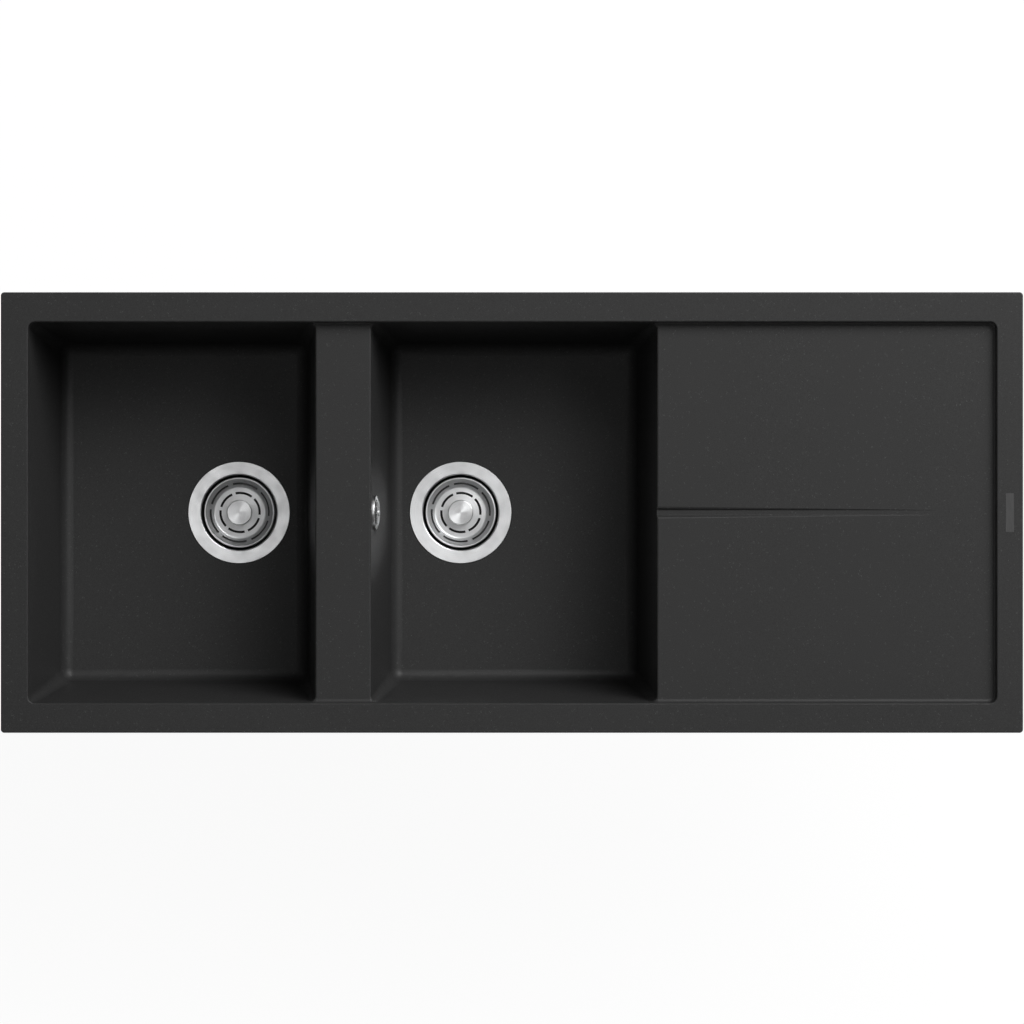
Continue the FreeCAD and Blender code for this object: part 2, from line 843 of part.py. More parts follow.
def body_gasket(side):
    inner = s.waste_hole_radius + s.gasket_clearance
    body = ring(side + "_body_gasket", inner, s.body_flange_radius - s.gasket_clearance, body_top, underside)
    place(body, waste_x[side])
    return body


def waste_body(side):
    """The moulded body under the bowl, with a spoked hub for the clamp nut and a threaded tail."""
    round_inner = s.body_wall * 2
    body = turned(side + "_waste_body", [
        (body_bore, body_top),
        (s.body_flange_radius, body_top),
        (s.body_flange_radius, body_top - s.body_flange_height, s.body_wall / 3),
        (body_outer, body_top - s.body_flange_height, s.body_wall / 3),
        (body_outer, body_bottom, round_inner + s.body_wall),
        (s.socket_radius, cone_end, s.body_wall),
        (s.socket_radius, tail_end),
        (socket_bore, tail_end),
        (socket_bore, tail_end + s.socket_depth),
        (s.tail_bore_radius, tail_end + s.socket_depth),
        (s.tail_bore_radius, cone_end + s.body_wall),
        (body_bore, body_bottom + s.body_wall, round_inner),
    ])
    half = s.spoke_width / 2
    end = s.tail_bore_radius + (s.socket_radius - s.tail_bore_radius) / 4
    spokes = new_sketch(body, side + "_spokes", "XY_Plane", hub_bottom)
    draw_outline(spokes, [
        (half, half), (end, half), (end, -half), (half, -half), (half, -end), (-half, -end),
        (-half, -half), (-end, -half), (-end, half), (-half, half), (-half, end), (half, end),
    ])
    pad(body, spokes, s.spoke_height)
    hub = new_sketch(body, side + "_hub", "XY_Plane", hub_bottom)
    draw_circle(hub, 0, 0, s.hub_radius)
    pad(body, hub, s.hub_height)
    bore = new_sketch(body, side + "_hub_bore", "XY_Plane", hub_bottom)
    draw_circle(bore, 0, 0, s.clamp_radius + s.thread_clearance * 2)
    pocket(body, bore, s.hub_height, up=True)
    seat = new_sketch(body, side + "_nut_seat", "XY_Plane", hub_bottom)
    draw_outline(seat, hexagon(s.clamp_nut_radius + s.thread_clearance))
    pocket(body, seat, s.clamp_nut_height, up=True)
    if side == "right":
        add_waste_spigot(body)
    place(body, waste_x[side])
    return body


def add_waste_spigot(body):
    """The spigot that takes the overflow hose, on the side towards the divider."""
    start = -body_bore - s.body_wall / 3
    tube = new_sketch(body, "waste_spigot", "YZ_Plane", start)
    draw_circle(tube, 0, waste_spigot_level, s.spigot_radius)
    end = body_outer + s.waste_spigot_length
    pad(body, tube, start + end, down=True)
    bore = new_sketch(body, "waste_spigot_bore", "YZ_Plane", -end)
    draw_circle(bore, 0, waste_spigot_level, spigot_bore)
    pocket(body, bore, end - body_bore + s.body_wall, up=True)


def hexagon(radius):
    """The corners of a hexagon with a corner on the X axis."""
    corners = []
    for index in range(6):
        angle = as_size(60 * index)
        corners.append((radius * cosine(angle), radius * sine(angle)))
    return corners


def clamp_screw(side):
    """The hollow-headed screw that pulls the cup down. Its socket guides the basket's post."""
    socket = s.post_radius + s.post_clearance
    socket_floor = clamp_head_top - s.post_socket_depth
    end = hub_bottom - s.clamp_end
    body = turned(side + "_clamp_screw", [
        (0, socket_floor),
        (socket, socket_floor),
        (socket, clamp_head_top),
        (s.clamp_head_radius, clamp_head_top, s.clamp_head_height / 4),
        (s.clamp_head_radius, cup_floor),
        (s.clamp_radius, cup_floor),
        (s.clamp_radius, end),
        (0, end),
    ])
    place(body, waste_x[side])
    return body


def clamp_nut(side):
    body = new_body(side + "_clamp_nut")
    sketch = new_sketch(body, side + "_clamp_hexagon", "XY_Plane", hub_bottom)
    draw_outline(sketch, hexagon(s.clamp_nut_radius))
    draw_circle(sketch, 0, 0, s.clamp_radius + s.thread_clearance)
    pad(body, sketch, s.clamp_nut_height)
    place(body, waste_x[side])
    return body


# the lift-out baskets

def basket(side):
    """The perforated basket, with a rolled rim, a steep cone and a slightly raised dish."""
    sheet = s.basket_sheet
    bore = s.post_radius + s.turning_clearance
    foot_round = s.basket_sheet * 4
    rim_low = basket_top - s.basket_rim_height
    body = turned(side + "_basket", [
        (s.basket_radius, rim_low),
        (s.basket_radius, basket_top, sheet * 0.75),
        (s.basket_mouth_radius, basket_top, sheet * 0.75),
        (s.basket_floor_radius, basket_floor, foot_round),
        (s.knob_foot_radius + sheet, dish_level),
        (bore, dish_level),
        (bore, dish_underside),
        (s.knob_foot_radius + sheet, dish_underside),
        (s.basket_floor_radius + sheet * 0.75, basket_floor - sheet, foot_round + sheet),
        (s.basket_mouth_radius + sheet * 0.5, rim_low),
    ])
    cuts = []
    rings = [("inner", s.inner_slot_radius, s.inner_slot_width), ("outer", s.outer_slot_radius, s.outer_slot_width)]
    for name, radius, width in rings:
        cuts.append(arc_slot(body, f"{side}_{name}_slot", radius, width))
    around(body, cuts, s.slot_count)
    place(body, waste_x[side])
    turn(body, Vector(0, 0, 1), s.slot_turn)
    return body


def arc_slot(body, name, radius, width):
    """One slot through the basket's dish or cone, bent about its axis."""
    half = width / 2
    sketch = new_sketch(body, name, "XZ_Plane")
    low = basket_floor - s.basket_rim_height * 2
    draw_outline(sketch, rectangle(radius - half, radius + half, low, low + s.basket_depth))
    cut = body.newObject("PartDesign::Groove", name + "_cut")
    cut.Profile = sketch
    cut.ReferenceAxis = (sketch, ["V_Axis"])
    cut.Midplane = True
    bind(cut, "Angle", s.slot_angle)
    recompute_changed(body, cut)
    return cut


def knob(side):
    """The knob: a waisted stem under a flat round cap."""
    top = dish_level + s.knob_height
    bore = s.post_radius + s.turning_clearance
    waist = s.knob_foot_radius * 0.7
    cap_low = top - s.knob_cap
    body = turned(side + "_knob", [
        (0, post_top + s.resting_gap),
        (bore, post_top + s.resting_gap),
        (bore, dish_level),
        (s.knob_foot_radius, dish_level),
        (s.knob_foot_radius, dish_level + s.knob_cap / 4),
        (waist, dish_level + s.knob_cap / 2, s.knob_cap / 2),
        (waist, cap_low, s.knob_cap / 2),
        (s.knob_radius, cap_low + s.knob_cap / 4, s.knob_cap / 4),
        (s.knob_radius, top, s.knob_cap / 4),
        (0, top),
    ])
    place(body, waste_x[side])
    return body


def post(side):
    """The post under the basket, with a collar that carries the basket and one for the stopper."""
    low_collar = stopper_top + s.collar_height
    body = turned(side + "_post", [
        (0, post_bottom),
        (s.post_radius, post_bottom, s.post_radius / 4),
        (s.post_radius, stopper_top),
        (s.collar_radius, stopper_top),
        (s.collar_radius, low_collar),
        (s.post_radius, low_collar),
        (s.post_radius, collar_top - s.collar_height),
        (s.collar_radius, collar_top - s.collar_height),
        (s.collar_radius, collar_top),
        (s.post_radius, collar_top),
        (s.post_radius, post_top),
        (0, post_top),
    ])
    place(body, waste_x[side])
    return body


def stopper(side):
    """The rubber stopper, which seals on the cup's floor outside the windows."""
    bore = s.post_radius + s.turning_clearance / 2
    lip = s.stopper_lip
    head_room = clamp_head_top + s.resting_gap * 2
    head_bore = s.clamp_head_radius + s.resting_gap * 3
    body = turned(side + "_stopper", [
        (bore, head_room),
        (bore, stopper_top),
        (s.stopper_radius / 2, stopper_top, lip / 2),
        (s.stopper_radius, stopper_bottom + lip, lip / 4),
        (s.stopper_radius, stopper_bottom, lip / 8),
        (s.stopper_radius - lip, stopper_bottom, lip / 8),
        (s.stopper_radius - lip, stopper_bottom + lip / 2),
        (head_bore, stopper_bottom + lip / 2),
        (head_bore, head_room),
    ])
    place(body, waste_x[side])
    return body


# the overflow, drawn square to the bowl's wall and then leant with it

def lean(piece):
    """Set an overflow piece on the right bowl's drafted wall, its own Z axis into the bowl."""
    place(piece, overflow_x, 0, overflow_level)
    turn(piece, Vector(0, 1, 0), overflow_tilt)


def overflow_cover():
    """The domed steel disc over the overflow, pierced by a ring of small holes."""
    sheet = s.cover_sheet
    height = s.cover_height
    bore = s.overflow_screw_radius + s.thread_clearance
    shoulder = s.cover_radius * 0.65
    body = turned("overflow_cover", [
        (s.cover_radius, 0),
        (s.cover_radius, height / 2, height / 4),
        (shoulder, height, height),
        (bore, height),
        (bore, height - sheet),
        (shoulder, height - sheet, height - sheet),
        (s.cover_radius - sheet, height / 2 - sheet, (height - sheet) / 8),
        (s.cover_radius - sheet, 0),
    ])
    hole = new_sketch(body, "cover_hole", "XY_Plane", height)
    draw_circle(hole, s.cover_hole_circle, 0, s.cover_hole_radius)
    around(body, [pocket(body, hole, height)], s.cover_hole_count)
    lean(body)
    return body


def overflow_screw():
    head = s.cover_height + s.overflow_screw_head_height
    body = turned("overflow_screw", [
        (0, head),
        (s.overflow_screw_head, head, s.overflow_screw_head_height / 2),
        (s.overflow_screw_head, s.cover_height),
        (s.overflow_screw_radius, s.cover_height),
        (s.overflow_screw_radius, elbow_back + s.elbow_wall),
        (0, elbow_back + s.elbow_wall),
    ])
    lean(body)
    return body


def overflow_gasket():
    body = ring("overflow_gasket", s.overflow_hole_radius + s.gasket_clearance, s.elbow_radius,
                elbow_front, -wall_through)
    lean(body)
    return body


def overflow_elbow():
    """The moulded elbow behind the wall: a cup with a screw boss and a spigot that points down."""
    wall = s.elbow_wall
    bore = s.overflow_screw_radius + s.thread_clearance
    boss = s.overflow_screw_radius + wall
    body = turned("overflow_elbow", [
        (s.elbow_radius - wall, elbow_front),
        (s.elbow_radius, elbow_front),
        (s.elbow_radius, elbow_back, wall),
        (bore, elbow_back),
        (bore, elbow_front - wall),
        (boss, elbow_front - wall),
        (boss, elbow_back + wall),
        (s.elbow_radius - wall, elbow_back + wall),
    ])
    start = s.elbow_radius - s.elbow_wall * 1.5
    tube = new_sketch(body, "elbow_spigot", "YZ_Plane", start)
    draw_circle(tube, 0, spigot_axis, s.spigot_radius)
    pad(body, tube, s.spigot_end - start)
    hole = new_sketch(body, "elbow_spigot_bore", "YZ_Plane", s.spigot_end)
    draw_circle(hole, 0, spigot_axis, spigot_bore)
    pocket(body, hole, s.spigot_end - boss * 1.5)
    lean(body)
    return body


def hose_route():
    """The hose's middle line: down beside the bowl's wall, one bend, then into the waste's spigot."""
    draft = math.radians(s.bowl_draft.value)
    sin, cos = math.sin(draft), math.cos(draft)
    across = spigot_axis.value
    along = s.spigot_end.value - s.spigot_grip.value
    start = Vector(overflow_x.value + across * cos + along * sin, 0,
                   overflow_level.value + across * sin - along * cos)
    down = Vector(sin, 0, -cos)
    bend = s.hose_bend.value
    straight = (start.z - waste_spigot_level.value - bend * (1 - sin)) / cos
    bend_start = start + down * straight
    bend_end = bend_start + Vector(bend * cos, 0, -bend * (1 - sin))
    half_turn = (math.pi / 2 + draft) / 2
    centre = Vector(bend_end.x, 0, bend_end.z + bend)
    middle = centre + Vector(-math.cos(half_turn), 0, -math.sin(half_turn)) * bend
    end = Vector(waste_spigot_end.value + s.spigot_grip.value, 0, waste_spigot_level.value)
    return start, down, bend_start, middle, bend_end, end


def hose_path():
    start, down, bend_start, middle, bend_end, end = hose_route()
    bend = Part.Arc(bend_start, middle, bend_end).toShape()
    return Part.Wire([Part.makeLine(start, bend_start), bend, Part.makeLine(bend_end, end)])


def overflow_hose():
    """The hose from the overflow to the right waste, held at both ends."""
    start, down = hose_route()[:2]
    tubes = []
    for radius in (hose_outer.value, hose_bore.value):
        circle = Part.Wire(Part.Circle(start, down, radius).toShape())
        tubes.append(hose_path().makePipeShell([circle], True, False))
    hose = doc.addObject("Part::Feature", "overflow_hose")
    hose.Label = "overflow_hose"
    hose.Shape = tubes[0].cut(tubes[1])
    hose.Placement = Placement()
    return hose


def hose_clips():
    """The two bands that hold the hose on its spigots."""
    outer = hose_outer + s.hose_clip_wall
    half = s.hose_clip_width / 2
    inner = hose_outer + s.insert_clearance
    top = turned("elbow_hose_clip", rectangle(inner, outer, -half, half))
    reach = s.spigot_end - s.spigot_grip / 2
    place(top, overflow_x + spigot_axis * cosine(s.bowl_draft) + reach * sine(s.bowl_draft), 0,
          overflow_level + spigot_axis * sine(s.bowl_draft) - reach * cosine(s.bowl_draft))
    turn(top, Vector(0, 1, 0), -s.bowl_draft)
    low = turned("waste_hose_clip", rectangle(inner, outer, -half, half))
    place(low, waste_spigot_end + s.spigot_grip / 2, 0, waste_spigot_level)
    turn(low, Vector(0, 1, 0), 90)
    return group("hose_clips", [top, low])


def group(label, members):
    """Separate solids of one kind in one piece."""
    doc.recompute()
    compound = doc.addObject("Part::Compound", label)
    compound.Label = label
    compound.Links = members
    return compound


# the pipes under the sink. A compression joint is a threaded socket, a washer and a nut.

UP = Rotation()
DOWN = Rotation(Vector(1, 0, 0), 180)
TO_RIGHT = Rotation(Vector(0, 1, 0), 90)
TO_LEFT = Rotation(Vector(0, 1, 0), -90)
TO_BACK = Rotation(Vector(1, 0, 0), -90)

COMPRESSION_JOINTS = {
    # name: (middle of the socket's mouth, the way the pipe leaves it)
    "left_waste": ((waste_x["left"], 0, tail_end), DOWN),
    "right_waste": ((waste_x["right"], 0, tail_end), DOWN),
    "cross_pipe_left": ((elbow_mouth, 0, cross_level), TO_RIGHT),
    "cross_pipe_right": ((tee_mouth, 0, cross_level), TO_LEFT),
    "trap_inlet": ((waste_x["right"], 0, trap_top), UP),
    "trap_outlet": ((waste_x["right"], s.trap_reach, outlet_level), TO_BACK),
}


def compression_nut(name):
    """A fluted nut over a socket's thread, with a lip that holds the washer in."""
    thread = s.socket_radius + s.thread_clearance
    lip_low = s.washer_height + s.thread_clearance
    top = s.washer_height + s.nut_lip
    edge = s.nut_lip / 3
    body = turned(name + "_nut", [
        (thread, -s.nut_grip),
        (s.nut_radius, -s.nut_grip, edge),
        (s.nut_radius, top, edge),
        (s.pipe_radius + s.socket_clearance * 2, top),
        (s.pipe_radius + s.socket_clearance * 2, lip_low),
        (thread, lip_low),
    ])
    flute = new_sketch(body, name + "_flute", "XY_Plane", top)
    draw_circle(flute, s.nut_radius + s.nut_flute_radius / 2, 0, s.nut_flute_radius)
    around(body, [pocket(body, flute, s.nut_grip + top)], s.nut_flute_count)
    spot, facing = COMPRESSION_JOINTS[name]
    place(body, *spot, rotation=facing)
    return body


def compression_washers():
    members = []
    for name, (spot, facing) in COMPRESSION_JOINTS.items():
        inner = s.pipe_radius + s.thread_clearance
        washer = ring(name + "_washer", inner, s.socket_radius - s.thread_clearance, 0, s.washer_height)
        place(washer, *spot, rotation=facing)
        members.append(washer)
    return group("compression_washers", members)


def cylinder(name, radius, length, spot, facing):
    """A plain cylinder that starts at a spot and runs the way it faces."""
    item = doc.addObject("Part::Cylinder", name)
    bind(item, "Radius", radius)
    bind(item, "Height", length)
    place(item, *spot, rotation=facing)
    return item


def quarter_bend(name, radius, spot, facing):
    item = doc.addObject("Part::Torus", name)
    item.Angle3 = 90
    bind(item, "Radius1", s.elbow_bend)
    bind(item, "Radius2", radius)
    place(item, *spot, rotation=facing)
    return item


def fused(name, members):
    item = doc.addObject("Part::MultiFuse", name)
    item.Shapes = members
    item.Refine = True
    return item


def cut_from(name, base, tool):
    item = doc.addObject("Part::Cut", name)
    item.Base = base
    item.Tool = tool
    item.Label = name
    return item


def left_elbow():
    """The elbow under the left waste, which ends in a socket for the cross pipe."""
    x = waste_x["left"]
    top = tail_end + pipe_insert
    bend_top = cross_level + s.elbow_bend
    bend_spot = (x + s.elbow_bend, 0, bend_top)
    bend_facing = Rotation(Vector(-1, 0, 0), Vector(0, 0, -1), Vector(0, -1, 0), "XYZ")
    solids = []
    for name, radius in (("elbow_outside", s.pipe_radius), ("elbow_inside", pipe_bore)):
        members = [
            cylinder(name + "_drop", radius, top - bend_top, (x, 0, bend_top), UP),
            quarter_bend(name + "_bend", radius, bend_spot, bend_facing),
            cylinder(name + "_run", radius, s.elbow_reach - s.elbow_bend, (x + s.elbow_bend, 0, cross_level),
                     TO_RIGHT),
        ]
        solids.append(members)
    socket = (elbow_mouth - s.socket_length, 0, cross_level)
    solids[0].append(cylinder("elbow_socket", s.socket_radius, s.socket_length, socket, TO_RIGHT))
    bore = (elbow_mouth - s.socket_depth, 0, cross_level)
    solids[1].append(cylinder("elbow_socket_bore", socket_bore, s.socket_depth, bore, TO_RIGHT))
    return cut_from("left_elbow", fused("elbow_outside", solids[0]), fused("elbow_inside", solids[1]))


def tee():
    """The tee under the right waste, with a socket towards the cross pipe and a tail into the trap."""
    x = waste_x["right"]
    low = trap_top - pipe_insert
    height = tail_end + pipe_insert - low
    outside = fused("tee_outside", [
        cylinder("tee_drop", s.pipe_radius, height, (x, 0, low), UP),
        cylinder("tee_branch", s.pipe_radius, s.tee_reach, (x, 0, cross_level), TO_LEFT),
        cylinder("tee_socket", s.socket_radius, s.socket_length, (tee_mouth + s.socket_length, 0, cross_level),
                 TO_LEFT),
    ])
    inside = fused("tee_inside", [
        cylinder("tee_drop_bore", pipe_bore, height, (x, 0, low), UP),
        cylinder("tee_branch_bore", pipe_bore, s.tee_reach, (x, 0, cross_level), TO_LEFT),
        cylinder("tee_socket_bore", socket_bore, s.socket_depth, (tee_mouth + s.socket_depth, 0, cross_level),
                 TO_LEFT),
    ])
    return cut_from("tee", outside, inside)


def cross_pipe():
    start = elbow_mouth - pipe_insert
    length = tee_mouth + pipe_insert - start
    body = ring("cross_pipe", pipe_bore, s.pipe_radius, 0, length)
    place(body, start, 0, cross_level, rotation=TO_RIGHT)
    return body


def outlet_pipe():
    """The pipe towards the wall, with a stop ring that keeps it from sliding into the trap."""
    start = s.trap_reach - pipe_insert
    length = s.outlet_end - start
    stop = pipe_insert + s.washer_height + s.nut_lip + s.resting_gap
    stop_radius = s.pipe_radius + s.pipe_stop_height
    body = turned("outlet_pipe", [
        (pipe_bore, 0),
        (s.pipe_radius, 0),
        (s.pipe_radius, stop),
        (stop_radius, stop),
        (stop_radius, stop + s.pipe_stop_width),
        (s.pipe_radius, stop + s.pipe_stop_width),
        (s.pipe_radius, length),
        (pipe_bore, length),
    ])
    place(body, waste_x["right"], start, outlet_level, rotation=TO_BACK)
    return body


def trap_head():
    """The bottle trap's head: inlet socket, threaded shell, outlet socket and the dip tube inside."""
    x = waste_x["right"]
    thread_end = head_bottom - s.trap_thread
    inner = s.trap_radius - s.trap_wall
    shell = fused("trap_shell", [
        cylinder("trap_inlet", s.socket_radius, s.trap_neck + s.trap_wall, (x, 0, head_top - s.trap_wall), UP),
        cylinder("trap_barrel", s.trap_radius, head_top - thread_end, (x, 0, thread_end), UP),
        cylinder("trap_branch", s.socket_radius, s.trap_reach, (x, 0, outlet_level), TO_BACK),
    ])
    room = cylinder("trap_room", inner, head_top - s.trap_wall - thread_end, (x, 0, thread_end), UP)
    hollow = cut_from("trap_hollow", shell, room)
    dip_end = head_bottom - s.dip_depth
    dip = cylinder("trap_dip", s.dip_radius, head_top - dip_end, (x, 0, dip_end), UP)
    branch_start = (s.dip_radius + inner) / 2
    bores = fused("trap_bores", [
        cylinder("trap_inlet_bore", socket_bore, s.socket_depth, (x, 0, trap_top - s.socket_depth), UP),
        cylinder("trap_dip_bore", s.dip_bore_radius, trap_top - dip_end, (x, 0, dip_end), UP),
        cylinder("trap_branch_bore", pipe_bore, s.trap_reach - branch_start, (x, branch_start, outlet_level),
                 TO_BACK),
        cylinder("trap_outlet_bore", socket_bore, s.socket_depth,
                 (x, s.trap_reach - s.socket_depth, outlet_level), TO_BACK),
    ])
    return cut_from("trap_head", fused("trap_with_dip", [hollow, dip]), bores)


def trap_cup():
    """The cup that screws up over the head's thread, and holds the water seal."""
    thread = s.trap_radius + s.thread_clearance
    thread_end = head_bottom - s.trap_thread
    seat = thread_end - s.trap_seal
    inner = s.trap_radius - s.trap_wall
    outer = inner + s.trap_cup_wall
    collar = thread + s.trap_collar_wall
    body = turned("trap_cup", [
        (0, trap_bottom),
        (outer, trap_bottom, s.trap_neck / 2),
        (outer, seat - s.trap_collar_wall, s.trap_cup_wall / 3),
        (collar, seat - s.trap_collar_wall / 2),
        (collar, head_bottom, s.trap_collar_wall / 4),
        (thread, head_bottom),
        (thread, seat),
        (inner, seat),
        (inner, trap_bottom + s.trap_cup_wall, s.trap_neck / 2 - s.trap_cup_wall),
        (0, trap_bottom + s.trap_cup_wall),
    ])
    flute = new_sketch(body, "trap_flute", "XY_Plane", head_bottom)
    draw_circle(flute, collar + s.nut_flute_radius / 2, 0, s.nut_flute_radius)
    around(body, [pocket(body, flute, s.trap_thread)], s.nut_flute_count)
    place(body, waste_x["right"])
    return body


def trap_seal():
    thread_end = head_bottom - s.trap_thread
    inner = s.trap_radius - s.trap_wall
    body = ring("trap_seal", inner, s.trap_radius, thread_end - s.trap_seal, thread_end)
    place(body, waste_x["right"])
    return body


# the clips that hold the sink down to the worktop

def clip_inserts():
    members = []
    for clip in CLIPS:
        bore = s.clip_screw_radius + s.thread_clearance
        insert = ring("insert_" + clip[0], bore, s.insert_radius, skirt_bottom, skirt_bottom + s.insert_length)
        place(insert, *clip_spot(clip))
        members.append(insert)
    return group("clip_inserts", members)


def clip_screws():
    members = []
    for clip in CLIPS:
        low = clip_head_top - s.clip_head_height
        screw = turned("screw_" + clip[0], [
            (0, low),
            (s.clip_head_radius, low, s.clip_head_height / 4),
            (s.clip_head_radius, clip_head_top),
            (s.clip_screw_radius, clip_head_top),
            (s.clip_screw_radius, clip_head_top + s.clip_screw_length),
            (0, clip_head_top + s.clip_screw_length),
        ])
        place(screw, *clip_spot(clip))
        members.append(screw)
    return group("clip_screws", members)


def claw(clip):
    """A bent steel claw that turns about its screw, from under the skirt to under the worktop."""
    label = "claw_" + clip[0]
    body = new_body(label)
    half = s.claw_width / 2
    plan = new_sketch(body, label + "_plan", "XY_Plane")
    rounded = half - s.insert_clearance
    corners = [(-half, -half, rounded), (s.claw_length, -half), (s.claw_length, half), (-half, half, rounded)]
    draw_outline(plan, corners)
    pad(body, plan, s.claw_sheet)
    lip = new_sketch(body, label + "_lip", "XY_Plane")
    draw_outline(lip, rectangle(s.claw_length - s.claw_sheet, s.claw_length, -half, half))
    pad(body, lip, s.claw_lip)

    def is_bend(edge):
        return edge.BoundBox.XMin > s.claw_length.value - 0.001 and edge.BoundBox.ZMax < 0.001

    round_edges(body, label + "_bend", s.claw_sheet * 0.9, is_bend)
    hole = new_sketch(body, label + "_hole", "XY_Plane", s.claw_sheet)
    draw_circle(hole, 0, 0, s.clip_screw_radius + s.thread_clearance)
    pocket(body, hole, s.claw_sheet)
    x, y = clip_spot(clip)
    place(body, x, y, claw_bottom, rotation=Rotation(Vector(0, 0, 1), clip[3]))
    return body


# the whole sink

def all_pieces():
    pieces = [sink_body(), rim_seal(), rim_plate()]
    for side in ("left", "right"):
        for make in (strainer_cup, flange_gasket, body_gasket, waste_body, clamp_screw, clamp_nut,
                     basket, knob, post, stopper):
            pieces.append(make(side))
    for make in (overflow_cover, overflow_screw, overflow_gasket, overflow_elbow, overflow_hose, hose_clips):
        pieces.append(make())
    for make in (left_elbow, cross_pipe, tee, trap_head, trap_cup, trap_seal, outlet_pipe):
        pieces.append(make())
    for name in COMPRESSION_JOINTS:
        pieces.append(compression_nut(name))
    pieces += [compression_washers(), clip_inserts(), clip_screws()]
    for clip in CLIPS:
        pieces.append(claw(clip))
    return pieces


def check(pieces):
    """Stop if any object failed, or any piece has no sound solid."""
    for item in doc.Objects:
        if "Invalid" in item.State or "Error" in item.State:
            raise RuntimeError(f"{item.Name} is {item.State}")
    for piece in pieces:
        if piece.Shape.isNull() or not piece.Shape.isValid() or not piece.Shape.Solids:
            raise RuntimeError(f"{piece.Label} has no sound shape")


def main():
    pieces = all_pieces()
    doc.recompute()
    check(pieces)
    os.makedirs("parts", exist_ok=True)
    for piece in pieces:
        piece.Shape.exportStep(f"parts/{piece.Label}.step")


main()
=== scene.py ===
"""Looks of the double bowl kitchen sink: its finishes, its finer pieces, the light and the camera."""

import json
import math

import bpy
from mathutils import Matrix, Vector


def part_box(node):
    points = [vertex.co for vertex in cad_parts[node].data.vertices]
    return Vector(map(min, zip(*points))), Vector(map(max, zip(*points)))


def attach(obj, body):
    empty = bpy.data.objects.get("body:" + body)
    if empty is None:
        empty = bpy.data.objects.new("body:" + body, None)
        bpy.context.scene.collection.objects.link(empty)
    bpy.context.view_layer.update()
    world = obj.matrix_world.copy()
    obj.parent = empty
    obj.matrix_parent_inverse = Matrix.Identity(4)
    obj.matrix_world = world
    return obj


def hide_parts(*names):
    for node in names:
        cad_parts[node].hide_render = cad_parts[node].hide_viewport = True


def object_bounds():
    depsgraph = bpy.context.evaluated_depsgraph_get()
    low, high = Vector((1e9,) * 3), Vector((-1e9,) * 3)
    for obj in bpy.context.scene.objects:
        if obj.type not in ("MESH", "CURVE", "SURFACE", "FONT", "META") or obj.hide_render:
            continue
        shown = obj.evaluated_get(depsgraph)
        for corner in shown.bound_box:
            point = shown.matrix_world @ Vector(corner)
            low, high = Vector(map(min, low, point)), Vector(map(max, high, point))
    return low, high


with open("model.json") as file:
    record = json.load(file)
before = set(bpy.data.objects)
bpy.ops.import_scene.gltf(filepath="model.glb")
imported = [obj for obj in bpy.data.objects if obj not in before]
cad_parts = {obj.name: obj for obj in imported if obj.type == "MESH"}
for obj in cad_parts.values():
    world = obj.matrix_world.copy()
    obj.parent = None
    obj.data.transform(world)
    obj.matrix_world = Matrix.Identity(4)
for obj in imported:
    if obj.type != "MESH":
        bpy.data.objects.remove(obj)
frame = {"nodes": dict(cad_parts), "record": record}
cad_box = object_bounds()

MM = 0.001
SIDES = ("left", "right")

# the photograph: taken straight from above the middle of the rim
CAMERA_HEIGHT = 4.808
CAMERA_OFFSET = (0.0001, 0.0006)
LENS = 148.75
SENSOR = 36.0
NEAREST = 0.1
FARTHEST = 60.0

# the light: a large softbox behind and to the right, a weak one in front to the left, a dim one overhead
# for the steel to mirror, and a dim room that looks white from the side
KEY_PLACE = (3.1, 3.45, 4.6)
KEY_SIZE = 4.3
KEY_POWER = 478.0
FILL_PLACE = (-3.6, -4.2, 1.6)
FILL_SIZE = 3.0
FILL_POWER = 2.0
TOP_PLACE = (-0.3, 0.2, 6.2)
TOP_SIZE = 2.0
TOP_POWER = 18.0
ROOM_SIDE = 0.05
ROOM_TOP = 0.15
WHITE_BELOW = 0.30
FLOOR_GAP = 0.5 * MM
FLOOR_RADIUS = 14.0
FLOOR_SEGMENTS = 96
FLOOR_GLOW = 0.94
FLOOR_SHADE = 0.08
FLOOR_COLOUR = 0.80

# the overflow hose, as it lies in the CAD model
DRAFT = math.radians(5.6)
HOSE_BEND = 34 * MM
HOSE_PITCH = 3.4 * MM
HOSE_GROOVE = 1.1 * MM
HOSE_CUFF = 15 * MM
HOSE_WALL = 2 * MM
HOSE_SEGMENTS = 40
RINGS_PER_PITCH = 8
GROOVE_SHARPNESS = 1.6

# the clips' screws, as they are in the CAD model, with a thread and a hexagon socket
SCREW_RADIUS = 2.5 * MM
SCREW_HEAD = 3.5 * MM
SCREW_CHAMFER = 0.5 * MM
THREAD_PITCH = 1.0 * MM
THREAD_DEPTH = 0.45 * MM
SOCKET_RADIUS = 2.3 * MM
SOCKET_DEPTH = 2.2 * MM
SCREW_SEGMENTS = 24
RINGS_PER_TURN = 5

# the steel
STEEL = (0.78, 0.785, 0.79)
SATIN = (0.28, 0.40)
BASKET_SATIN = (0.40, 0.52)
POLISHED = (0.26, 0.36)
KNOB_BRUSH = 1.6
KNOB_DIRECTIONAL = 0.75
COVER_BRUSH = 0.5
# painted shade inside each strainer cup: how dark it gets, how far below the rim it starts, and over what
# height it fades in
CUP_PAINTED_SHADE = 0.9
SHADE_PAINT_START = 1.4 * MM
SHADE_PAINT_FADE = 2.0 * MM
OVERFLOW_LEAN = math.pi / 2 - DRAFT


# materials

